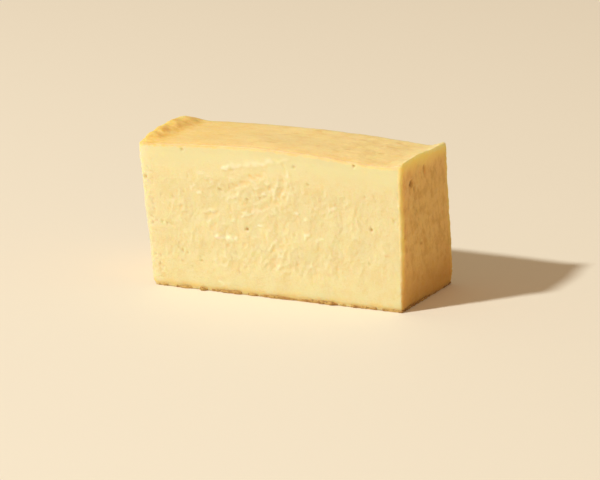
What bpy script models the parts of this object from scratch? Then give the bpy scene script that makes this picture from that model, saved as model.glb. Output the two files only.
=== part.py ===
"""A slice of Basque-style cheesecake, baked in a loaf tin and cut right across the loaf.

The two long faces are knife cuts. The two ends are the skin that set against the tin: the left one leans
in towards its foot, as the tin's wall did, and the right one has slumped outwards a little. The top is the
browned skin, which domes between the ends and climbs into a raised lip where the batter clung to the tin.

Axes: X along the slice, Y from the front cut to the back cut, Z up. The origin is under the middle of the
slice, on the surface that it stands on.
"""

import math

import bmesh
import bpy
from mathutils import Vector, noise

# Driving dimensions, in metres.
LENGTH = 0.0800  # from end to end, at the top
DEPTH = 0.0335  # from cut to cut
HEIGHT = 0.0406  # at the corners
CELL = 0.0022  # spacing of the points on every face

EDGE_RADIUS = 0.0006  # where a knife or the tin made an edge
BASE_RADIUS = 0.0004  # the same edges, where the crisp base crust keeps them sharp
SOFT_RADIUS = 0.0036  # where the right end's top slumped round, at the front cut
RADIUS_ZONE = 0.0080  # one radius passes to the next over this length
FOOT_RADIUS = 0.0022  # where the left end turns under
CRUST_LIP = (0.0016, 0.0007)  # how far the base crust's torn edge stands out: (spacing, most)
CRUST_THICKNESS = 0.0009

LEFT_FOOT_IN = 0.0043  # the tin's wall leans: the left end's foot stands this far inboard
RIGHT_FOOT_OUT = 0.0019  # the right end has slumped: its belly stands this far outboard
RIGHT_BACK_OUT = 0.0009  # and the whole of its back edge this much more
FRONT_FOOT_OUT = 0.0013  # the knife ran out of the upright on the front cut

# The top's rise above the corners: (centre along X, half width, height).
FRONT_DOME = (-0.003, 0.040, 0.00205)
BACK_DOME = (-0.007, 0.039, 0.00122)
BACK_DIP = (0.0345, 0.0065, -0.00050)

# The lips' rise: (centre along Y, half width, height) of each swelling.
LEFT_LIP = ((0.0010, 0.0205, 0.00225), (0.0110, 0.0090, 0.00085), (-0.0060, 0.0050, 0.00020))
RIGHT_LIP = ((-0.0060, 0.0110, 0.00055), (0.0130, 0.0100, 0.00135))
LIP_WIDTH = 0.0042  # from the end's face to the crease inside the lip
BROAD_LIP = 0.0068  # the same at the back of the left lip, where it is broadest

# Unevenness: (size of the swellings, height).
FACE_WAVES = (0.011, 0.00025)
LIP_LUMPS = (0.0035, 0.00028)
CUT_CRAGS = (0.0042, 0.00055)
SMOOTH_BAND = 0.0085  # under the top edge of each cut the knife left the cream smooth
BAND_RIDGE = 0.00035  # height of the smear that ends the band

SKIN_COLOUR = (0.84, 0.62, 0.27, 1.0)
SKIN_ROUGHNESS = 0.5


def swelling(place, centre, half_width, height):
    """A rounded rise: height at its centre, and nothing beyond half_width on either side."""
    share = min(abs(place - centre) / half_width, 1.0)
    return height * math.cos(share * math.pi / 2) ** 1.2


def eased(value, low, high):
    """0 below low, 1 above high, and a smooth step between."""
    share = min(max((value - low) / (high - low), 0.0), 1.0)
    return share * share * (3 - 2 * share)


def rough(place, waves, seed, stretch=(1, 1, 1)):
    """Smooth noise of the given (size, height), stretched along an axis and shifted by seed."""
    size, height = waves
    point = Vector(c / (size * s) for c, s in zip(place, stretch))
    return height * noise.noise(point + Vector((seed, 2 * seed, 3 * seed)))


def stations(length):
    """Where cuts cross a side of this length: close together in its rounded edges, then evenly spaced."""
    half = length / 2
    inner = half - 1.4 * EDGE_RADIUS
    steps = round(2 * inner / CELL)
    evenly = [-inner + 2 * inner * i / steps for i in range(steps + 1)]
    near_edges = [side * (half - 0.35 * EDGE_RADIUS) for side in (-1, 1)]
    return evenly + near_edges


def block():
    """A cube scaled to the slice and cut across along X, Y and Z into a grid on each face."""
    grid = bmesh.new()
    bmesh.ops.create_cube(grid, size=1.0)
    size = Vector((LENGTH, DEPTH, HEIGHT))
    bmesh.ops.scale(grid, vec=size, verts=grid.verts)
    for axis in range(3):
        normal = Vector(float(axis == i) for i in range(3))
        for place in stations(size[axis]):
            everything = grid.verts[:] + grid.edges[:] + grid.faces[:]
            bmesh.ops.bisect_plane(
                grid, geom=everything, dist=1e-6, plane_co=normal * place, plane_no=normal
            )
    bmesh.ops.translate(grid, vec=(0, 0, HEIGHT / 2), verts=grid.verts)
    return grid


def rounded(place):
    """place moved onto the block with rounded edges: one radius out from the smaller block inside it."""
    radius = BASE_RADIUS + (EDGE_RADIUS - BASE_RADIUS) * eased(place.z, 0, RADIUS_ZONE)
    low = Vector((-LENGTH / 2, -DEPTH / 2, 0)) + Vector((radius,) * 3)
    high = Vector((LENGTH / 2, DEPTH / 2, HEIGHT)) - Vector((radius,) * 3)
    core = Vector(min(max(c, a), b) for c, a, b in zip(place, low, high))
    return core + (place - core).normalized() * radius


def slumped(place):
    """place with the right end's top edge drawn round, alike in every section from cut to cut.

    Rings shaped like the edge as it was, with EDGE_RADIUS at its corner, become rings of a circle.
    """
    radius = SOFT_RADIUS * (1 - 0.6 * eased(place.y, 0, DEPTH / 2))
    x = (place.x - LENGTH / 2) / radius + 1
    z = (place.z - HEIGHT) / radius + 1
    if min(x, z) <= 0:
        return place
    corner = 1 - (1 - math.sqrt(0.5)) * EDGE_RADIUS / radius
    power = -math.log(2) / math.log(corner)
    ring = (x**power + z**power) ** (1 / power)
    inward = radius * (ring / math.hypot(x, z) - 1)
    return place + Vector((x, 0, z)) * inward


def top_rise(x, y):
    """How far the browned top stands above its corners: the dome, the dip at the back and the two lips."""
    back_share = eased(y, -DEPTH / 2, DEPTH / 2)
    front = swelling(x, *FRONT_DOME)
    back = swelling(x, *BACK_DOME) + swelling(x, *BACK_DIP)
    rise = front + (back - front) * back_share
    for end, lumps, back_width in ((-LENGTH / 2, LEFT_LIP, BROAD_LIP), (LENGTH / 2, RIGHT_LIP, LIP_WIDTH)):
        width = LIP_WIDTH + (back_width - LIP_WIDTH) * back_share
        crest = sum(swelling(y, *lump) for lump in lumps) + rough((x, y, 0), LIP_LUMPS, 5)
        rise += crest * (1 - eased(abs(x - end), 0.2 * width, width))
    return rise


def end_shift(place):
    """How far the ends' lean, slump and turned-under foot move a point along X."""
    drop = min(max(1 - place.z / HEIGHT, 0.0), 1.0)
    side = eased(place.x, -LENGTH / 2, LENGTH / 2)
    lean = LEFT_FOOT_IN * math.sin(drop * math.pi / 2) ** 1.6
    turned_under = FOOT_RADIUS * (1 - eased(place.z, 0, FOOT_RADIUS)) * 0.5
    belly = RIGHT_FOOT_OUT * math.sin(min(drop * 1.15, 1) * math.pi / 2) ** 1.6
    back_share = eased(place.y, -DEPTH / 2, DEPTH / 2)
    slump = belly * (0.65 + 0.35 * back_share) + RIGHT_BACK_OUT * back_share
    return (lean + turned_under) * (1 - side) + slump * side


def cut_relief(place):
    """The cuts' surface: a smooth band under the top edge, a smeared ridge, then crags that fade at the rims."""
    below_top = HEIGHT - place.z
    ridge_at = SMOOTH_BAND + rough((place.x, 0, 0), (0.015, 0.003), 1)
    ridge = swelling(below_top, ridge_at, 0.002, BAND_RIDGE)
    inside = eased(below_top, ridge_at, ridge_at + 0.003) * eased(place.z, 0.001, 0.008)
    inside *= eased(LENGTH / 2 - abs(place.x), 0.003, 0.014)
    crags = rough(place, CUT_CRAGS, 2, stretch=(0.8, 1, 1.5)) * inside
    return ridge * eased(LENGTH / 2 - abs(place.x), 0.004, 0.016) + crags


def relief(place, normal):
    """The step from the plain form out to the real surface. Nothing moves the flat base up or down."""
    height = rough(place, FACE_WAVES, 3) + cut_relief(place) * abs(normal.y) ** 3
    lip = max(rough((place.x, place.y, 0), CRUST_LIP, 7), 0) * (1 - eased(place.z, 0, 2 * CRUST_THICKNESS))
    outward = Vector((normal.x, normal.y, 0))
    return normal * height * eased(place.z, 0.0005, 0.003) + outward * lip


def stand_on_origin(grid):
    """Moves the slice so that the middle of its box is over the origin and its base is at Z 0."""
    places = [vert.co for vert in grid.verts]
    low = Vector(map(min, zip(*places)))
    high = Vector(map(max, zip(*places)))
    foot = Vector(((low.x + high.x) / 2, (low.y + high.y) / 2, low.z))
    bmesh.ops.translate(grid, vec=-foot, verts=grid.verts)


def slice_form():
    """The whole slice as one closed grid."""
    grid = block()
    for vert in grid.verts:
        vert.co = slumped(rounded(vert.co))
    grid.normal_update()
    moved = []
    for vert in grid.verts:
        place = vert.co + relief(vert.co, vert.normal)
        up_share = place.z / HEIGHT
        shift_y = -FRONT_FOOT_OUT * (1 - up_share) * (1 - eased(place.y, -DEPTH / 2, DEPTH / 2))
        rise = top_rise(place.x, place.y) * up_share**2
        moved.append(place + Vector((end_shift(place), shift_y, rise)))
    for vert, place in zip(grid.verts, moved):
        vert.co = place
    stand_on_origin(grid)
    return grid


def baked_skin():
    """The finish of the whole slice, as the browned skin."""
    material = bpy.data.materials.new("baked_skin")
    material.use_nodes = True
    shader = material.node_tree.nodes["Principled BSDF"]
    shader.inputs["Base Color"].default_value = SKIN_COLOUR
    shader.inputs["Roughness"].default_value = SKIN_ROUGHNESS
    shader.inputs["Metallic"].default_value = 0.0
    return material


def cheesecake_slice(collection):
    """The slice as one named object."""
    grid = slice_form()
    mesh = bpy.data.meshes.new("cheesecake_slice")
    grid.to_mesh(mesh)
    grid.free()
    mesh.materials.append(baked_skin())
    mesh.shade_smooth()
    mesh.set_sharp_from_angle(angle=math.radians(50))
    made = bpy.data.objects.new("cheesecake_slice", mesh)
    collection.objects.link(made)
    return made


def clear_scene():
    for old in list(bpy.data.objects):
        bpy.data.objects.remove(old)


clear_scene()
parts = bpy.data.collections.new("Basque cheesecake")
bpy.context.scene.collection.children.link(parts)
cheesecake_slice(parts)
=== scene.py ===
import math
import random

import bmesh
import bpy
import numpy as np
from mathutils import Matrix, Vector, noise
from mathutils.bvhtree import BVHTree


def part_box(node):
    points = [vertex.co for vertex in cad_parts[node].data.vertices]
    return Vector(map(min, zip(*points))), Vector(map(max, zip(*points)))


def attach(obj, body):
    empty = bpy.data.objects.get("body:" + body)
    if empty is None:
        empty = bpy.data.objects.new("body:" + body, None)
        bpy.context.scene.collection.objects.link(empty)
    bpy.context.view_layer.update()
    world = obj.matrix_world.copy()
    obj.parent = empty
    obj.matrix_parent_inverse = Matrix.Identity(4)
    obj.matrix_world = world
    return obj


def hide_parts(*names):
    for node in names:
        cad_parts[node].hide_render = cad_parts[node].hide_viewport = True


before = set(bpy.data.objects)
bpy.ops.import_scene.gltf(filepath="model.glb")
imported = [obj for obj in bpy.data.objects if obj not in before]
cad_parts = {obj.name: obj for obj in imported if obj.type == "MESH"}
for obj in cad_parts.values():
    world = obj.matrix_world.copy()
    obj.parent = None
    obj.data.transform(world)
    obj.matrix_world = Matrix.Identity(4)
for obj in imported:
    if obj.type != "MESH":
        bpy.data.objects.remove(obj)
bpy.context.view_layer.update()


# ---- Camera --------------------------------------------------------------------------------------
# It stands off the slice's front right corner, a little above it, and looks down a long lens, so
# that the cut's upright edges stay nearly parallel.

AIM = Vector((0.00129, 0.00046, 0.0127))
AZIMUTH = math.radians(23.39)
ELEVATION = math.radians(14.5)
STAND_OFF = 0.855
LENS = 180  # in millimetres, as the sensor's width is
SENSOR = 36

away = Vector((math.sin(AZIMUTH), -math.cos(AZIMUTH), 0)) * math.cos(ELEVATION)
away += Vector((0, 0, math.sin(ELEVATION)))
bpy.ops.object.camera_add(
    location=AIM + away * STAND_OFF, rotation=away.to_track_quat("Z", "Y").to_euler()
)
camera = bpy.context.object
camera.data.lens = LENS
camera.data.sensor_width = SENSOR
bpy.context.scene.camera = camera


# ---- Floor and light -----------------------------------------------------------------------------
# A pale matt floor that runs out of sight, one small white lamp high on the left in front of the
# cut, and a weak warm glow from all round, as bounces off pale walls.

LAMP_FROM = Vector((-0.480, -0.568, 0.669))
LAMP_DISTANCE = 3.0
LAMP_SIZE = 0.24
LAMP_POWER = 86.0
LAMP_COLOUR = (0.96, 1.0, 0.98)
GLOW_COLOUR = (1.0, 0.74, 0.49)
GLOW_STRENGTH = 0.436
FLOOR_COLOUR = (0.86, 0.79, 0.66)

bpy.ops.mesh.primitive_plane_add(size=8, location=(0, 0, 0))
floor = bpy.context.object
floor.name = "floor"
floor_paint = bpy.data.materials.new("pale_floor")
floor_paint.use_nodes = True
paint = floor_paint.node_tree.nodes["Principled BSDF"]
paint.inputs["Base Color"].default_value = (*FLOOR_COLOUR, 1)
paint.inputs["Roughness"].default_value = 0.7
floor.data.materials.append(floor_paint)

bpy.ops.object.light_add(
    type="AREA",
    location=LAMP_FROM * LAMP_DISTANCE,
    rotation=LAMP_FROM.to_track_quat("Z", "Y").to_euler(),
)
lamp = bpy.context.object
lamp.data.shape = "DISK"
lamp.data.size = LAMP_SIZE
lamp.data.energy = LAMP_POWER
lamp.data.color = LAMP_COLOUR

world = bpy.data.worlds.new("glow")
world.use_nodes = True
bpy.context.scene.world = world
sky = world.node_tree.nodes["Background"]
sky.inputs["Color"].default_value = (*GLOW_COLOUR, 1)
sky.inputs["Strength"].default_value = GLOW_STRENGTH
bpy.context.scene.view_settings.view_transform = "Standard"


# ---- The slice: its form -------------------------------------------------------------------------
# Cream cheese and egg baked in a lined loaf tin and cut right across the loaf. It is one piece:
# both long sides are fresh cuts, and the top and both ends are its own browned skin.

MM = 0.001
CELL = 0.41 * MM  # spacing of the mesh's points
CUTS_AT_ONCE = 100  # the most that one subdivide makes

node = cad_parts["cheesecake_slice"]
low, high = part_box("cheesecake_slice")
bpy.ops.object.select_all(action="DESELECT")
bpy.ops.mesh.primitive_cube_add(size=1, location=(low + high) / 2, scale=high - low)
cake = bpy.context.object
cake.name = "cheesecake"
bpy.ops.object.transform_apply(location=True, rotation=False, scale=True)

# Each corner of the block goes over or under the solid's own, so that its sides lean as the solid's do.
places = [Vector(v.co) for v in node.data.vertices]
for corner in cake.data.vertices:
    outward = Vector((math.copysign(1, c) for c in corner.co - (low + high) / 2))
    own_corner = max(places, key=lambda place: place.dot(outward))
    corner.co.xy = own_corner.xy

bpy.ops.object.mode_set(mode="EDIT")
bpy.ops.mesh.select_mode(type="EDGE")


def select_edges_along(axis):
    """Selects the edges of the piece in edit mode that run mostly along X, Y or Z (0, 1 or 2)."""
    bpy.ops.mesh.select_all(action="DESELECT")
    grid = bmesh.from_edit_mesh(bpy.context.object.data)
    for edge in grid.edges:
        run = edge.verts[1].co - edge.verts[0].co
        edge.select_set(abs(run[axis]) == max(map(abs, run)))
    bmesh.update_edit_mesh(bpy.context.object.data)


def cut_into_cells(axis, length, cell):
    """Cuts the same piece into cells of about that size along an axis, on which it has that length."""
    cells = round(length / cell)
    rounds = math.ceil(cells / CUTS_AT_ONCE)
    select_edges_along(axis)
    if rounds > 1:
        bpy.ops.mesh.subdivide(number_cuts=rounds - 1)
        select_edges_along(axis)
    bpy.ops.mesh.subdivide(number_cuts=math.ceil(cells / rounds) - 1)


for axis, length in enumerate(high - low):
    cut_into_cells(axis, length, CELL)

# A vertex group for each side of the block, by the way its faces look.
SIDES = {
    "front_cut": (0, -1, 0),
    "back_cut": (0, 1, 0),
    "left_end": (-1, 0, 0),
    "right_end": (1, 0, 0),
    "top": (0, 0, 1),
    "base": (0, 0, -1),
}
bpy.ops.mesh.select_mode(type="FACE")
for side, direction in SIDES.items():
    bpy.ops.mesh.select_all(action="DESELECT")
    grid = bmesh.from_edit_mesh(cake.data)
    for face in grid.faces:
        face.select_set(face.normal.dot(Vector(direction)) > 0.8)
    bmesh.update_edit_mesh(cake.data)
    cake.vertex_groups.new(name=side)
    bpy.ops.object.vertex_group_assign()
bpy.ops.object.mode_set(mode="OBJECT")

# The block is drawn onto a smooth copy of the solid, which is then thrown away.
mould = node.copy()
mould.data = node.data.copy()
mould.name = "mould"
mould.parent = None
bpy.context.collection.objects.link(mould)
bpy.ops.object.select_all(action="DESELECT")
mould.select_set(True)
bpy.context.view_layer.objects.active = mould
bpy.ops.object.mode_set(mode="EDIT")
bpy.ops.mesh.select_all(action="SELECT")
bpy.ops.mesh.remove_doubles(threshold=0.01 * MM)
bpy.ops.mesh.tris_convert_to_quads(face_threshold=math.pi, shape_threshold=math.pi)
bpy.ops.object.mode_set(mode="OBJECT")
finer = mould.modifiers.new("finer", "SUBSURF")
finer.levels = finer.render_levels = 2
bpy.ops.object.modifier_apply(modifier=finer.name)

# First each upright column of the block is shortened to the top's height there, a little way inboard.
top_of = BVHTree.FromObject(mould, bpy.context.evaluated_depsgraph_get())
INBOARD = 0.97
crown = []  # the height of the top over each point
for point in cake.data.vertices:
    above = Vector((point.co.x * INBOARD, point.co.y * INBOARD, 2 * high.z))
    crown.append(top_of.ray_cast(above, Vector((0, 0, -1)))[0].z)
    point.co.z *= crown[-1] / high.z

bpy.ops.object.select_all(action="DESELECT")
cake.select_set(True)
bpy.context.view_layer.objects.active = cake
ROUNDS = 3  # drawn on, eased and drawn on again, so that no point crosses its neighbour at an edge
for number in range(ROUNDS):
    fitted = cake.modifiers.new("fitted", "SHRINKWRAP")
    fitted.target = mould
    fitted.wrap_method = "NEAREST_SURFACEPOINT"
    bpy.ops.object.modifier_apply(modifier=fitted.name)
    if number < ROUNDS - 1:
        eased = cake.modifiers.new("eased", "SMOOTH")
        eased.factor = 0.5
        eased.iterations = 4
        bpy.ops.object.modifier_apply(modifier=eased.name)
bpy.data.objects.remove(mould)


# ---- The slice: marks of the knife and the oven --------------------------------------------------
# The knife dragged the soft cream, so the cut is smooth under the skin and then torn and smeared.
# There are small pits where air was caught. The skin is finely wrinkled, and the tin left upright
# drag lines on the ends.

def weights_of(side):
    """The share, 0 to 1, with which each point of the slice belongs to a vertex group."""
    index = cake.vertex_groups[side].index
    shares = np.zeros(len(cake.data.vertices))
    for vertex in cake.data.vertices:
        for membership in vertex.groups:
            if membership.group == index:
                shares[vertex.index] = membership.weight
    return shares


def paint_group(name, shares):
    """Makes a vertex group from a share, 0 to 1, for each point."""
    group = cake.vertex_groups.new(name=name)
    for index in np.flatnonzero(shares > 0.001):
        group.add([int(index)], float(shares[index]), "REPLACE")


def points_of(mesh, what="co"):
    """The mesh's points, or its point normals, as rows of X, Y and Z."""
    rows = np.empty(len(mesh.vertices) * 3, np.float32)
    if what == "co":
        mesh.vertices.foreach_get("co", rows)
    else:
        mesh.vertex_normals.foreach_get("vector", rows)
    return rows.reshape(-1, 3).astype(float)


def ramp(value, start, end):
    """0 before start, 1 after end, and a smooth step between."""
    share = np.clip((value - start) / (end - start), 0, 1)
    return share * share * (3 - 2 * share)


def clouds(places, size, seed):
    """Smooth noise, from about -1 to 1, at each row of places. All lengths are in millimetres."""
    shift = Vector((seed, 2 * seed, 3 * seed))
    return np.array([noise.noise(Vector(place) / size + shift) for place in places])


bpy.ops.object.mode_set(mode="EDIT")
bpy.ops.mesh.select_mode(type="VERT")
bpy.ops.mesh.select_all(action="SELECT")
bpy.ops.object.vertex_group_smooth(group_select_mode="ALL", factor=0.5, repeat=2)
bpy.ops.object.mode_set(mode="OBJECT")
sides = {side: weights_of(side) for side in SIDES}
form = points_of(cake.data)
x, y, z = form.T / MM  # in millimetres, as all that is worked out from them
deep = np.array(crown) / MM - z  # how far each point lies below the top


def side_at(across, furthest):
    """Where a leaning side stands at each point's height, on a straight line from its foot to its top."""
    return np.interp(z, (0, 40), (furthest(across[z < 2]), furthest(across[z > 30])))


from_left = x - side_at(x, np.min)
from_right = side_at(x, np.max) - x
from_cuts = np.minimum(y - side_at(y, np.min), y.max() - y)

# The right end's top edge is drawn out again from the solid's round one, most of all at the front,
# and the top beside it is lifted.
EDGE_OUT = 1.6  # the most that it is drawn out
EDGE_WAY = (0.75, 0, 1)
TOP_LIFT = 0.8  # the most that the top is lifted
normals = points_of(cake.data, "normals")
round_edge = np.clip(2 * normals[:, 0] * normals[:, 2], 0, 1) ** 1.5 * ramp(x, 33, 37) * ramp(z, 33, 37)
drawn_out = EDGE_OUT * round_edge * (1 - ramp(y, 0, 15.5))
lift = TOP_LIFT * ramp(x, 31, 40) * (1 - ramp(y, 1, 15)) * ramp(z, 33, 38)
form += (np.outer(drawn_out, EDGE_WAY) + np.outer(lift, (0, 0, 1))) * MM
cake.data.vertices.foreach_set("co", form.astype(np.float32).ravel())
cake.data.update()

# Where the cream tore, in patches: below the smooth band, and away from the ends and the foot.
patchy = 0.65 + 0.7 * clouds(form / MM, 7, 4)
torn = ramp(deep, 6.5, 11) * ramp(z, 3, 10) * ramp(x, -37, -29) * (1 - 0.15 * ramp(x, 8, 20))
torn *= ramp(38.5 - x, 0, 6) * patchy
torn_back = ramp(deep, 4, 9) * ramp(z, 3, 10) * ramp(x, -36, -24) * ramp(36 - x, 0, 12) * patchy
core = ramp(x, -26, -16) * (1 - ramp(x, 0, 9)) * ramp(z, 10, 17) * torn  # left of the middle it tore most
wrinkled = 0.4 + 0.6 * ramp(x, 5, 25)  # the top is smoother towards the left
curdled = 0.4 + 0.6 * ramp(deep, 4, 9)  # and so are the cuts towards the top
on_cuts = np.clip(sides["front_cut"] + sides["back_cut"], 0, 1)
on_ends = np.clip(0.65 * sides["left_end"] + sides["right_end"], 0, 1)
top_or_left = np.clip(sides["top"] + sides["left_end"], 0, 1)
off_foot = ramp(z, 0.5, 2.5)
paint_group("torn", np.clip(torn * (1 - 0.5 * core) * sides["front_cut"], 0, 1))
paint_group("core", np.clip(core * sides["front_cut"], 0, 1))
paint_group("torn_back", np.clip(torn_back * sides["back_cut"], 0, 1))
paint_group("cuts", on_cuts * off_foot * ramp(deep, 0, 2) * curdled)
paint_group("ends", on_ends * off_foot * ramp(deep, 0, 3))
paint_group("skin", sides["top"] * wrinkled)
paint_group("left_rim", top_or_left * (1 - ramp(from_left, 3, 6)) * (1 - ramp(deep, 1, 4)))


def press(name, size, height, where, detail=2, turn=0, stretch=1):
    """Raises and sinks the slice's surface by a noise of that size, within a vertex group.

    The noise is drawn out upwards by stretch, and then turned that many degrees towards the right.
    """
    pattern = bpy.data.textures.new(name, "CLOUDS")
    pattern.noise_scale = 1
    pattern.noise_depth = detail
    guide = bpy.data.objects.new(name, None)
    guide.rotation_euler = (0, math.radians(turn), 0)
    guide.scale = (size, size, size * stretch)
    bpy.context.collection.objects.link(guide)
    bpy.context.view_layer.update()
    layer = cake.modifiers.new(name, "DISPLACE")
    layer.texture = pattern
    layer.texture_coords = "OBJECT"
    layer.texture_coords_object = guide
    layer.vertex_group = where
    layer.mid_level = 0.5
    layer.strength = height
    bpy.ops.object.modifier_apply(modifier=layer.name)
    bpy.data.objects.remove(guide)
    bpy.data.textures.remove(pattern)


before, facing = points_of(cake.data), points_of(cake.data, "normals")
press("drag", 0.80 * MM, 0.72 * MM, "torn", turn=19, stretch=2.2)
press("tears", 0.85 * MM, 0.86 * MM, "core", turn=56, stretch=2.2)
press("tears_back", 0.75 * MM, 0.66 * MM, "torn_back", detail=3, turn=-12, stretch=2.4)
press("curd", 0.70 * MM, 0.20 * MM, "cuts", detail=3)
press("wrinkles", 1.00 * MM, 0.20 * MM, "skin", detail=3)
press("rise", 3.60 * MM, 0.46 * MM, "skin")
press("lumps", 1.80 * MM, 0.26 * MM, "left_rim")
press("drawn", 0.80 * MM, 0.28 * MM, "ends", detail=3, stretch=2.5)
press("pocks", 0.50 * MM, 0.36 * MM, "ends")
press("dents", 2.40 * MM, 0.50 * MM, "ends")

# The marks in these lists were picked out by eye, most of them on the photo, and a separate script
# turned those places from pixels into millimetres with the camera above. Each list is on its side's
# own two axes: X and Z on the front cut, Y and Z on the right end, X and Y on the top.

# Pits: (across, up, radius, depth).
FRONT_PITS = [
    (-38.9, 31.2, 0.8, 0.45), (-33.8, 18.6, 0.5, 0.40), (-32.2, 18.5, 0.4, 0.40), (-27.3, 28.0, 0.6, 0.30),
    (-27.1, 10.8, 0.6, 0.40), (-28.1, 11.6, 0.5, 0.30), (-25.9, 10.6, 0.5, 0.30), (-21.3, 8.4, 0.6, 0.50),
    (-16.0, 29.5, 0.7, 0.40), (-7.1, 19.1, 0.7, 0.70), (-12.4, 35.6, 0.6, 0.30), (-7.4, 27.3, 0.7, 0.40),
    (-3.4, 28.4, 0.6, 0.30), (24.7, 40.0, 0.6, 0.80), (10.9, 33.7, 0.6, 0.40), (30.3, 22.9, 0.7, 0.80),
    (30.9, 32.0, 0.6, 0.25), (29.9, 13.0, 0.6, 0.30), (35.1, 15.6, 0.5, 0.30), (6.4, 38.0, 0.6, 0.40),
    (29.7, 18.7, 0.5, 0.30), (-27.5, 40.2, 0.6, 0.50),
]
RIGHT_PITS = [
    (-0.1, 37.2, 1.3, 1.3), (-9.3, 35.0, 1.2, 0.7), (-7.0, 32.6, 1.0, 0.6), (-5.6, 26.4, 0.5, 0.6),
    (-5.9, 22.2, 0.5, 0.6), (-4.3, 16.9, 0.5, 0.7), (-14.6, 20.8, 0.6, 0.4), (-4.9, 24.0, 0.4, 0.4),
]
STRAY_PITS = 60  # on each cut, smaller, wherever air was caught
SKIN_PITS = 70  # in the strip of each cut that lies along the left end, where the cream is porous
SKIN_STRIP = 2.6  # the width of that strip
CUT_TOP = 41  # the height of the cuts at the left end
LEAN_IN = 5  # how far that end's foot stands inboard of its top
PIT_SHADE_DARKNESS = 1.3  # how dark the painted shade in a pit gets for each millimetre of its depth, up to 1

# Where the knife dragged the front cut: (across, up, across, up, width, depth), from end to end. The
# back cut has the same marks turned round, as if from the same knife.
DRAGS = [
    (-14.3, 29.6, -10.1, 31.5, 1.32, 0.19), (-10.1, 31.5, -2.2, 35.7, 1.56, 0.24),
    (-8.3, 34.0, -4.7, 34.0, 1.20, 0.13), (-20.1, 22.2, -16.3, 22.9, 1.20, 0.16),
    (-12.6, 24.9, -12.3, 22.1, 0.96, 0.18), (-8.2, 24.3, -4.6, 25.2, 1.20, 0.22),
    (-4.6, 25.2, -0.1, 26.4, 1.08, 0.16), (-18.2, 18.6, -16.6, 19.4, 1.08, 0.21),
    (-14.5, 17.5, -14.2, 15.5, 0.84, 0.21), (-13.9, 15.0, -13.2, 12.2, 1.32, 0.16),
    (-21.3, 13.7, -20.7, 9.6, 1.08, 0.14), (3.7, 38.1, 4.1, 36.2, 1.32, 0.22),
    (3.2, 35.3, 3.5, 31.9, 1.08, 0.18), (3.0, 31.9, 1.7, 26.6, 1.32, 0.21),
    (-1.2, 21.2, -1.7, 16.3, 1.08, 0.13), (1.9, 16.4, 0.4, 13.0, 1.08, 0.16),
    (10.2, 28.3, 16.2, 29.7, 1.08, 0.10), (12.7, 22.0, 12.2, 18.0, 0.96, 0.11),
    (10.8, 16.1, 9.3, 13.7, 0.96, 0.14), (-10.2, 26.9, -7.4, 26.3, 1.08, 0.14),
    (-0.4, 31.9, -0.1, 31.0, 0.84, 0.19), (14.9, 16.8, 15.0, 15.7, 0.84, 0.14),
    (17.9, 16.5, 18.5, 16.0, 0.84, 0.13), (20.2, 12.5, 20.4, 8.0, 0.72, 0.16),
]
# Where it left smears that stand proud: (across, up, across, up, width, height).
SMEARS = [
    (-14.8, 35.9, -13.3, 36.1, 1.00, 0.34), (-12.7, 36.4, -9.3, 37.3, 1.15, 0.15),
    (-9.3, 37.3, -2.8, 38.2, 1.61, 0.15), (-2.8, 38.2, 1.3, 39.4, 1.38, 0.15),
    (2.0, 39.2, 4.9, 40.0, 1.03, 0.13), (5.3, 36.1, 4.8, 33.2, 0.80, 0.20),
    (6.0, 32.7, 5.2, 28.7, 0.80, 0.14), (1.8, 34.6, 0.5, 28.2, 0.90, 0.12),
    (-4.9, 32.3, -5.0, 30.8, 0.80, 0.24), (-6.2, 29.3, -4.4, 29.2, 0.80, 0.20),
    (-2.9, 29.6, -0.4, 30.4, 0.70, 0.20), (-13.6, 27.1, -11.1, 28.3, 0.80, 0.22),
    (-10.1, 30.1, -10.5, 27.4, 0.80, 0.16), (-8.9, 22.5, -6.5, 23.5, 0.80, 0.24),
    (-6.5, 23.5, -3.2, 24.4, 0.80, 0.18), (-20.1, 23.0, -17.0, 23.7, 0.80, 0.18),
    (-19.4, 19.9, -18.5, 20.6, 0.80, 0.26), (-12.0, 21.0, -11.4, 21.3, 0.80, 0.24),
    (-16.9, 16.2, -14.7, 16.1, 0.90, 0.36), (-13.9, 15.6, -10.6, 16.0, 0.90, 0.48),
    (-4.7, 20.2, -2.1, 20.8, 0.70, 0.26), (7.3, 25.2, 8.1, 25.0, 0.80, 0.40),
    (10.3, 23.5, 11.2, 23.6, 0.70, 0.26), (3.0, 20.7, 3.5, 21.9, 0.80, 0.22),
    (10.1, 17.8, 11.5, 19.6, 0.90, 0.24), (14.0, 17.6, 15.8, 18.3, 0.80, 0.22),
    (-0.5, 13.8, 1.6, 16.6, 0.70, 0.20), (2.8, 13.6, 4.7, 14.3, 0.80, 0.22),
    (13.2, 26.9, 14.7, 27.3, 0.60, 0.24), (17.1, 26.4, 19.5, 27.8, 0.80, 0.20),
    (-24.7, 29.6, -23.7, 30.5, 0.80, 0.20), (-23.1, 28.0, -22.2, 28.4, 0.70, 0.22),
    (-22.5, 33.5, -21.0, 34.2, 0.70, 0.18), (10.0, 10.4, 15.0, 9.6, 0.80, 0.14),
    (-15.5, 2.9, -11.5, 2.5, 1.00, 0.16),
]
SMEAR_PALENESS = 3  # how pale a smear gets for each millimetre of its height, up to 1

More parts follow.
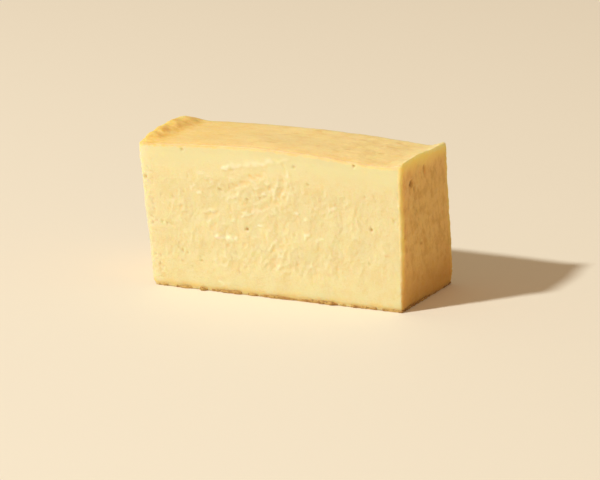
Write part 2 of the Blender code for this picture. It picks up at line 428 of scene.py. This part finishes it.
# Scorched marks: (across, up, half their width, half their height).
TOP_SCORCHES = [
    (-39.9, -11.7, 1.2, 1.2), (-38.7, -3.8, 1.3, 1.8), (-37.9, 3.5, 1.3, 1.8), (-39.8, 5.0, 1.2, 1.6),
    (-3.7, -8.2, 2.4, 0.7), (17.8, -4.5, 1.6, 0.8), (16.6, 9.7, 1.5, 0.8), (26.2, 12.6, 0.9, 0.9),
    (27.2, 6.4, 2.2, 0.8), (27.2, -2.7, 1.2, 0.9), (1.3, 13.8, 1.4, 0.8), (-3.2, 8.2, 1.4, 0.6),
    (22.5, -1.0, 1.0, 0.6), (24.0, 6.0, 1.2, 0.6), (-22.0, -2.0, 1.4, 0.6), (8.0, 3.0, 1.0, 0.5),
]
FRONT_SCORCHES = [
    (-34.6, 4.6, 1.0, 1.3), (-33.2, 3.4, 1.2, 0.8),
]
RIGHT_SCORCHES = [
    (12.4, 24.0, 0.5, 4.0), (14.2, 14.0, 0.6, 5.0), (13.0, 33.0, 0.5, 3.0), (-3.0, 22.0, 0.5, 1.4),
]

# Bulges and dips of the left rim: (across, up, radius, height).
RIM_BUMPS = [
    (-39.5, -10.0, 3.2, 0.35), (-39.8, -4.0, 2.6, 0.25), (-39.6, 0.4, 2.4, -0.35), (-39.2, 5.2, 2.8, 0.30),
    (-38.6, 11.0, 3.4, 0.20), (-36.5, 14.8, 2.2, -0.20), (-37.0, -7.0, 2.0, -0.15), (-36.2, 6.5, 2.0, 0.15),
]
FOOT_SHRINK = 0.30  # the cream is cut back this much at the foot, where the crust takes over
UNDERSIDE = 0.04  # the cream's underside is this far off the floor, so that the crust covers it


def nearness(points, start, end, width):
    """How near each point is to the line from start to end: 1 on it, and 0 at width, which tapers."""
    run = end - start
    along = np.clip((points - start) @ run / (run @ run), 0, 1)
    gap = np.linalg.norm(points - start - along[:, None] * run, axis=1)
    taper = 1 - 0.45 * (2 * along - 1) ** 2
    return np.clip(1 - (gap / (width * taper)) ** 2, 0, 1) ** 2


form = points_of(cake.data)
outward = points_of(cake.data, "normals")
standing = ((form - before) * facing).sum(axis=1) / MM  # how far each point was raised or sunk
wander = np.column_stack([clouds(form / MM, 1.7, seed) for seed in (11, 12, 13)])
wandered = form / MM + 0.7 * wander  # places read from here make ragged marks of round ones
front_face, end_face, top_face = wandered[:, [0, 2]], wandered[:, [1, 2]], wandered[:, :2]
broken = 0.25 + 0.75 * ramp(clouds(form / MM, 1.3, 9), -0.45, 0.2)  # drags and smears come and go
WELL_ON = (0.4, 0.8)  # marks fade out between these shares in a side
on_front = ramp(sides["front_cut"], *WELL_ON)
on_back = ramp(sides["back_cut"], *WELL_ON)
on_top = ramp(sides["top"], *WELL_ON)
on_right = ramp(sides["right_end"], *WELL_ON)
on_left_rim = ramp(np.maximum(sides["left_end"], sides["top"]), *WELL_ON) * (1 - ramp(deep, 1, 5))

raised = np.zeros(len(form))
smeared = np.zeros(len(form))
for here, flip in ((on_front, 1), (on_back, -1)):
    for marks, sign in ((DRAGS, -1), (SMEARS, 1)):
        for x1, z1, x2, z2, width, height in marks:
            start, end = np.array((flip * x1, z1)), np.array((flip * x2, z2))
            on_it = nearness(front_face, start, end, width) * broken * here
            raised += sign * height * on_it
            if sign > 0:
                smeared = np.maximum(smeared, on_it * height * SMEAR_PALENESS)
standing += raised

scorched = np.zeros(len(form))
for here, face, marks in (
    (on_top, top_face, TOP_SCORCHES),
    (0.4 * on_front, front_face, FRONT_SCORCHES),
    (on_right, end_face, RIGHT_SCORCHES),
):
    for across, up, half_width, half_height in marks:
        gap = np.hypot((face[:, 0] - across) / half_width, (face[:, 1] - up) / half_height)
        scorched = np.maximum(scorched, np.clip(1 - gap**2, 0, 1) * here)

chance = random.Random(7)
all_pits = [(on_front, front_face, FRONT_PITS), (on_right, end_face, RIGHT_PITS)]
for here in (on_front, on_back):
    strays = []
    for _ in range(STRAY_PITS):
        place = (chance.uniform(-37, 39), chance.uniform(2, 39))
        strays.append((*place, chance.uniform(0.35, 0.6), chance.uniform(0.06, 0.25)))
    for _ in range(SKIN_PITS):
        up = chance.uniform(3, CUT_TOP)
        edge = x.min() + LEAN_IN * (1 - up / CUT_TOP)
        inward = 1.0 + SKIN_STRIP * chance.random() ** 1.3
        strays.append((edge + inward, up, chance.uniform(0.3, 0.6), chance.uniform(0.1, 0.3)))
    all_pits.append((here, front_face, strays))
# How much painted shade each pit gets: the deeper the pit, the darker.
pit_shade = np.zeros(len(form))
for here, face, pits in all_pits:
    for across, up, radius, depth in pits:
        gap = np.linalg.norm(face - (across, up), axis=1) / radius
        hollow = np.clip(1 - gap**2, 0, 1) ** 1.5 * here
        raised -= depth * hollow
        pit_shade = np.maximum(pit_shade, hollow * min(depth * PIT_SHADE_DARKNESS, 1))

for across, up, radius, height in RIM_BUMPS:
    gap = np.linalg.norm(top_face - (across, up), axis=1) / radius
    raised += height * np.clip(1 - gap**2, 0, 1) ** 1.5 * on_left_rim

upright = np.linalg.norm(outward[:, :2], axis=1)
raised -= FOOT_SHRINK * upright * (1 - ramp(form[:, 2] / MM, 0.3, 1.6))
raised *= np.where(form[:, 2] < 0.02 * MM, 0, 1)  # the underside stays flat
form += outward * raised[:, None] * MM
form[:, 2] = np.maximum(form[:, 2], UNDERSIDE * MM)
cake.data.vertices.foreach_set("co", form.astype(np.float32).ravel())
cake.data.update()


def mark(name, values):
    """Stores a number for each point of the slice, for its material to read."""
    layer = cake.data.attributes.new(name, "FLOAT", "POINT")
    layer.data.foreach_set("value", np.asarray(values, np.float32))


mark("deep", deep)
mark("tin_side", np.clip(sides["left_end"] * ramp(from_cuts, 0.3, 1.0) + sides["right_end"], 0, 1))
mark("by_cut", 1 - ramp(from_cuts, 0.5, 3.2))
mark("cut_edge", 1 - ramp(from_cuts, 0.1, 1.2))
mark("standing", standing)
mark("right_rim", 1 - ramp(from_right, 0.3, 3.5))
mark("pit_shade", pit_shade)
mark("smeared", np.clip(smeared, 0, 1))
mark("scorched", scorched)
mark("by_left", 1 - ramp(from_left, 0.5, 4.5))
mark("on_rim", np.maximum(1 - ramp(from_left, 4.5, 10.5), 0.3 * (1 - ramp(from_left, 15, 35))))

# Where the surface turns over the top edges of the cuts, or over the left end's edges. These edges face the
# lamp, and this share darkens them with painted shade.
to_x, to_y, to_z = np.abs(outward).T  # how much each point faces along each axis
by_cuts = 1 - ramp(from_cuts, 0.8, 2.2)
by_end = 1 - ramp(from_left, 0.8, 2.2)
top_edge = to_z * to_y * by_cuts * (1 - ramp(deep, 2, 3)) * ramp(from_right, 0.5, 3)
end_edge = to_x * by_end * np.maximum(0.6 * to_z, 0.4 * to_y * by_cuts)
mark("turned", np.clip(2 * np.maximum(top_edge, end_edge), 0, 1))
bpy.ops.object.shade_smooth()


# ---- The slice: its finish -----------------------------------------------------------------------
# Light passes a little way into the cream, so its edges glow. The cut is pale and waxy, mottled
# where it tore. The skin is golden with darker freckles. The ends are tan with upright drag lines,
# and darker towards the foot. Light and shade are also painted into the colour: painted shade in
# the pits, in the cut's hollows and on the edges that face the lamp, a painted highlight on cream
# that stands proud, and a painted glow along the ends' edges.

CREAM = (0.775, 0.681, 0.378)
CREAM_DEEP = (0.765, 0.638, 0.330)
CREAM_PALE = (0.82, 0.75, 0.50)
# painted shade for the cut's hollows
CREAM_HOLLOW_SHADE = (0.82, 0.625, 0.285)
CURD_DEEP = (0.73, 0.56, 0.24)
CREAM_BAND = (0.748, 0.678, 0.372)
CREAM_BY_SKIN = (0.75, 0.69, 0.42)
SKIN = (0.94, 0.715, 0.310)
SKIN_DARK = (0.84, 0.56, 0.20)
EDGE_SHADE = (0.68, 0.61, 0.71)  # painted shade: what the colour is multiplied by where the surface turns over an edge
RIM_GOLD = (0.93, 0.69, 0.235)
RIM_DARK = (0.86, 0.565, 0.135)
RIM_TAN = (1.0, 0.80, 0.34)
TIN_TAN = (0.88, 0.565, 0.185)
TIN_DARK = (0.655, 0.338, 0.080)
# The next two are a painted glow, where light comes through the cream's edges onto the ends.
PAINTED_END_GLOW = (1.0, 0.715, 0.21)
PAINTED_CUT_EDGE_GLOW = (0.97, 0.78, 0.42)
# painted shade for the pits in the ends
PAINTED_END_PIT_SHADE = (0.36, 0.16, 0.035)
SCORCH = (0.70, 0.42, 0.11)
# painted shade for the pits in the cut
PAINTED_PIT_SHADE = (0.62, 0.41, 0.12)
FOOT_GOLD = (0.86, 0.60, 0.23)

finish = bpy.data.materials.new("baked_cream")
finish.use_nodes = True
cake.data.materials.append(finish)
tree = finish.node_tree
shader = tree.nodes["Principled BSDF"]
shader.inputs["Subsurface Weight"].default_value = 0.6
shader.inputs["Subsurface Radius"].default_value = (1.0, 0.62, 0.25)
shader.inputs["Subsurface Scale"].default_value = 0.0065  # in metres, as all the finish's sizes
shader.inputs["Specular IOR Level"].default_value = 0.30


def add(kind, *links, **values):
    """Adds a node. A link is (input's name or number, output), and a value sets a setting or an input."""
    made = tree.nodes.new(kind)
    for name, value in values.items():
        if hasattr(made, name):
            setattr(made, name, value)
        else:
            made.inputs[name.replace("_", " ").title()].default_value = value
    for socket, source in links:
        tree.links.new(source, made.inputs[socket])
    return made


def number_at(name):
    """The number that mark() stored at each point."""
    return add("ShaderNodeAttribute", attribute_name=name).outputs["Fac"]


def pattern_at(size, stretch=1, detail=3, roughness=0.55):
    """A noise of that size in metres, drawn out upwards by stretch. It runs from about 0.3 to 0.7."""
    scaled = add(
        "ShaderNodeMapping",
        ("Vector", tree.nodes["Texture Coordinate"].outputs["Object"]),
        scale=(1 / size, 1 / size, 1 / (size * stretch)),
    )
    made = add(
        "ShaderNodeTexNoise",
        ("Vector", scaled.outputs[0]),
        scale=1.0,
        detail=detail,
        roughness=roughness,
    )
    return made.outputs[0]


def between(value, low, high, to_low=0.0, to_high=1.0):
    """The value, with low to high spread smoothly onto to_low to to_high, and held at its ends."""
    made = add("ShaderNodeMapRange", ("Value", value), interpolation_type="SMOOTHSTEP")
    for socket, number in (("From Min", low), ("From Max", high), ("To Min", to_low), ("To Max", to_high)):
        made.inputs[socket].default_value = number
    return made.outputs[0]


def combine(operation, first, second):
    """One sum on two values, each a socket or a number."""
    made = add("ShaderNodeMath", operation=operation)
    for socket, value in zip(made.inputs, (first, second)):
        if isinstance(value, (int, float)):
            socket.default_value = value
        else:
            tree.links.new(value, socket)
    return made.outputs[0]


def blended(share, first, second, how="MIX"):
    """The first colour going over to the second, or to its product with it, as share goes from 0 to 1."""
    made = add("ShaderNodeMix", ("Factor", share), data_type="RGBA", blend_type=how)
    for name, value in (("A", first), ("B", second)):
        socket = [s for s in made.inputs if s.name == name and s.type == "RGBA"][0]
        if isinstance(value, tuple):
            socket.default_value = (*value, 1)
        else:
            tree.links.new(value, socket)
    return [s for s in made.outputs if s.type == "RGBA"][0]


tree.nodes.new("ShaderNodeTexCoord").name = "Texture Coordinate"
below_top, tin_side, pit_shade_share = map(number_at, ("deep", "tin_side", "pit_shade"))
smear_share, scorch_share, by_left, by_cut = map(number_at, ("smeared", "scorched", "by_left", "by_cut"))
on_rim, right_rim, standing_out, cut_edge = map(number_at, ("on_rim", "right_rim", "standing", "cut_edge"))
edge_shade_share = number_at("turned")
place = tree.nodes["Texture Coordinate"].outputs["Object"]
off_floor = add("ShaderNodeSeparateXYZ", (0, place)).outputs["Z"]

# The cut.
mottle = pattern_at(0.0032, detail=4)
cream = blended(between(mottle, 0.35, 0.7), CREAM, CREAM_DEEP)
cream = blended(between(below_top, 8.0, 3.0), cream, CREAM_BAND)
curds = pattern_at(0.00045, detail=2)
crumbly = between(below_top, 3.0, 9.0, 0.25, 1.0)
cream = blended(combine("MULTIPLY", crumbly, between(curds, 0.54, 0.72, 0, 0.3)), cream, CURD_DEEP)
cream = blended(combine("MULTIPLY", crumbly, between(curds, 0.46, 0.28, 0, 0.25)), cream, CREAM_PALE)
# Painted shade in the cut's hollows, and a painted highlight on the cream that stands proud, by how far
# each point was sunk or raised.
cream = blended(between(standing_out, -0.03, -0.24, 0, 0.65), cream, CREAM_HOLLOW_SHADE)
cream = blended(between(standing_out, 0.04, 0.20, 0, 0.5), cream, CREAM_PALE)
cream = blended(by_left, cream, CREAM_BY_SKIN)
cream = blended(smear_share, cream, CREAM_PALE)
toasted = between(pattern_at(0.003), 0.40, 0.6, 0.25, 0.9)
toasted = combine("MULTIPLY", between(off_floor, 0.0030, 0.0008), toasted)
cream = blended(toasted, cream, SKIN_DARK)
cream = blended(between(off_floor, 0.0017, 0.0008), cream, FOOT_GOLD)
# Painted shade in the pits, darker the deeper they are.
cream = blended(combine("MULTIPLY", pit_shade_share, 0.85), cream, PAINTED_PIT_SHADE)

# The browned top.
patches = pattern_at(0.0045, detail=5, roughness=0.6)
freckles = pattern_at(0.0009, detail=3)
skin = blended(between(patches, 0.42, 0.68, 0, 0.5), SKIN, SKIN_DARK)
skin = blended(between(freckles, 0.60, 0.74, 0, 0.5), skin, SKIN_DARK)
skin = blended(between(on_rim, 0.0, 0.3, 0, 0.2), skin, SKIN_DARK)
skin = blended(combine("MULTIPLY", on_rim, between(patches, 0.35, 0.55, 0.7, 1)), skin, RIM_GOLD)
spots = between(pattern_at(0.0026, detail=4, roughness=0.6), 0.42, 0.60, 0.15, 0.85)
skin = blended(combine("MULTIPLY", on_rim, spots), skin, RIM_DARK)
skin = blended(combine("MULTIPLY", right_rim, 0.65), skin, RIM_TAN)

# The ends.
blotches = pattern_at(0.0028, stretch=1.3, detail=5, roughness=0.6)
dashes = pattern_at(0.0006, stretch=4.5, detail=3)
tan = blended(between(blotches, 0.42, 0.66, 0, 0.6), TIN_TAN, TIN_DARK)
tan = blended(between(dashes, 0.56, 0.70, 0, 0.4), tan, TIN_DARK)
# A painted glow along the end's top edge and beside the cuts, as if light came through from the lit top and
# cuts. It is palest right at the cut's edge.
tan = blended(combine("MAXIMUM", between(below_top, 4.5, 1.0), by_cut), tan, PAINTED_END_GLOW)
tan = blended(cut_edge, tan, PAINTED_CUT_EDGE_GLOW)
tan = blended(between(off_floor, 0.018, 0.0, 0, 0.85), tan, TIN_DARK)
# Painted shade in the end's pits.
tan = blended(combine("MULTIPLY", pit_shade_share, 0.9), tan, PAINTED_END_PIT_SHADE)
tan = blended(combine("MULTIPLY", by_left, 0.6), tan, SKIN)

# The whole. Where one finish passes to the next, the line between them wavers.
waver = combine("SUBTRACT", pattern_at(0.0012, detail=3), 0.5)
end_share = between(combine("ADD", tin_side, combine("MULTIPLY", waver, 0.5)), 0.62, 0.95)
skin_depth = combine("ADD", below_top, combine("MULTIPLY", waver, 1.5))  # in millimetres
colour = blended(end_share, cream, tan)
colour = blended(between(skin_depth, 1.3, 0.4), colour, skin)
# Painted shade on the edges that face the lamp.
colour = blended(edge_shade_share, colour, EDGE_SHADE, "MULTIPLY")
colour = blended(combine("MULTIPLY", scorch_share, 0.6), colour, SCORCH)
tree.links.new(colour, shader.inputs["Base Color"])

dullness = between(pattern_at(0.0010, detail=2), 0.3, 0.7, 0.38, 0.56)
dullness = combine("ADD", dullness, combine("MULTIPLY", tin_side, 0.3))
tree.links.new(dullness, shader.inputs["Roughness"])

grain = combine("MULTIPLY", pattern_at(0.00042, detail=3, roughness=0.6), crumbly)
bump = add("ShaderNodeBump", ("Height", grain), strength=0.5, distance=0.0003)
tree.links.new(bump.outputs[0], shader.inputs["Normal"])

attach(cake, "root")
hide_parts("cheesecake_slice")


# ---- The base crust ------------------------------------------------------------------------------
# The bottom skin baked dark and dry on the tin's floor. It is one thin brittle sheet, under 1 mm
# thick. The knife broke it unevenly, so it stands out under the cream in some places and stops
# short of the cut in others.

CRUST_CELL = 0.40 * MM
CRUST_THICK = 0.70  # its usual thickness, in millimetres, as the lengths that follow
CRUST_UNEVEN = 0.40  # how much thicker or thinner it gets
CRUST_THINNEST = 0.22
CRUST_THICKEST = 0.95
CRUST_OUT = 0.08  # how far it stands out beyond the slice's foot as a rule
CRUST_TORN = 0.50  # how much that varies
CRUST_ROUNDED = 0.16  # how much less its top and bottom edges stand out
CRUST_CRUMBS = 0.10  # the roughness of its broken edge
CHIP_THICK = 0.35  # how much thicker it gets for each millimetre that it stands out more
RIM_ZONE = 2.5  # the torn edge's ups and downs die away this far in

# Where it falls short at the front (-) or stands out more: (place along X, half width, how far).
CRUST_CHIPS = [
    (-36.6, 2.2, -0.90), (-30.6, 1.6, -0.90), (-23.3, 1.3, -0.90), (23.6, 0.9, -0.70), (33.0, 1.1, -0.70),
    (-20.7, 1.3, 0.70), (-26.6, 2.0, 0.45), (-12.0, 4.0, 0.35), (16.5, 4.5, 0.40), (2.0, 5.0, 0.25),
]

bpy.ops.object.select_all(action="DESELECT")
bpy.ops.mesh.primitive_cube_add(size=2)
crust = bpy.context.object
crust.name = "base_crust"
for corner in crust.data.vertices:
    outward = Vector((corner.co.x, corner.co.y, -1))
    corner.co.xy = max(places, key=lambda place: place.dot(outward)).xy
    corner.co.z = MM * (corner.co.z > 0)
foot = points_of(crust.data) / MM

bpy.ops.object.mode_set(mode="EDIT")
bpy.ops.mesh.select_mode(type="EDGE")
select_edges_along(2)
bpy.ops.mesh.subdivide(number_cuts=2)
for axis in (0, 1):
    cut_into_cells(axis, np.ptp(foot[:, axis]) * MM, CRUST_CELL)
bpy.ops.object.mode_set(mode="OBJECT")

# Each side of the sheet is torn by its own noise, which moves the points near it in or out.
sheet = points_of(crust.data) / MM
share_up = sheet[:, 2].copy()
flat = sheet * (1, 1, 0)
across = sheet[:, 1].copy()
back_share = (across - across.min()) / np.ptp(across)
ends_at = []
for side in (-1, 1):
    front_x, back_x = (max(side * foot[foot[:, 1] * row > 0, 0]) * side for row in (-1, 1))
    ends_at.append(front_x + (back_x - front_x) * back_share)
edges = (  # (how far each point lies inside the edge, the edge's way out)
    (sheet[:, 0] - ends_at[0], (-1, 0)),
    (ends_at[1] - sheet[:, 0], (1, 0)),
    (across - across.min(), (0, -1)),
    (across.max() - across, (0, 1)),
)
thick = CRUST_THICK + CRUST_UNEVEN * clouds(flat, 1.5, 21)
for number, (gap, way_out) in enumerate(edges):
    along = flat * (abs(way_out[1]), abs(way_out[0]), 0)
    at_rim = 1 - ramp(gap, 0, RIM_ZONE)
    out = clouds(along, 2.2, 30 + number) + 0.6 * clouds(along, 0.7, 40 + number)
    out = CRUST_OUT + CRUST_TORN * out
    if way_out == (0, -1):
        for place, half_width, further in CRUST_CHIPS:
            chip = further * (1 - ramp(np.abs(flat[:, 0] - place), 0.3 * half_width, half_width))
            out += chip
            thick += CHIP_THICK * chip * at_rim
    on_edge = gap < 0.01
    out = out * at_rim - CRUST_ROUNDED * (2 * share_up - 1) ** 2 * on_edge
    out += CRUST_CRUMBS * clouds(sheet, 0.45, 50 + number) * on_edge
    sheet[:, :2] += np.outer(out, way_out)
sheet[:, 2] = share_up * np.clip(thick, CRUST_THINNEST, CRUST_THICKEST)
crust.data.vertices.foreach_set("co", (sheet * MM).astype(np.float32).ravel())
crust.data.update()
bpy.ops.object.shade_smooth_by_angle(angle=math.radians(55))

CRUST_BROWN = (0.39, 0.19, 0.05)
CRUST_GOLD = (0.58, 0.37, 0.11)
CRUST_BLACK = (0.22, 0.11, 0.03)

burnt = bpy.data.materials.new("burnt_crust")
burnt.use_nodes = True
crust.data.materials.append(burnt)
tree = burnt.node_tree
shader = tree.nodes["Principled BSDF"]
shader.inputs["Specular IOR Level"].default_value = 0.3
tree.nodes.new("ShaderNodeTexCoord").name = "Texture Coordinate"
baked = pattern_at(0.0035, detail=5, roughness=0.65)
specks = pattern_at(0.0007, detail=3)
colour = blended(between(baked, 0.40, 0.62), CRUST_GOLD, CRUST_BROWN)
colour = blended(between(specks, 0.50, 0.68, 0, 0.8), colour, CRUST_BLACK)
tree.links.new(colour, shader.inputs["Base Color"])
tree.links.new(between(specks, 0.3, 0.7, 0.6, 0.85), shader.inputs["Roughness"])
grain = pattern_at(0.0004, detail=4, roughness=0.65)
bump = add("ShaderNodeBump", ("Height", grain), strength=0.8, distance=0.00025)
tree.links.new(bump.outputs[0], shader.inputs["Normal"])

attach(crust, "root")
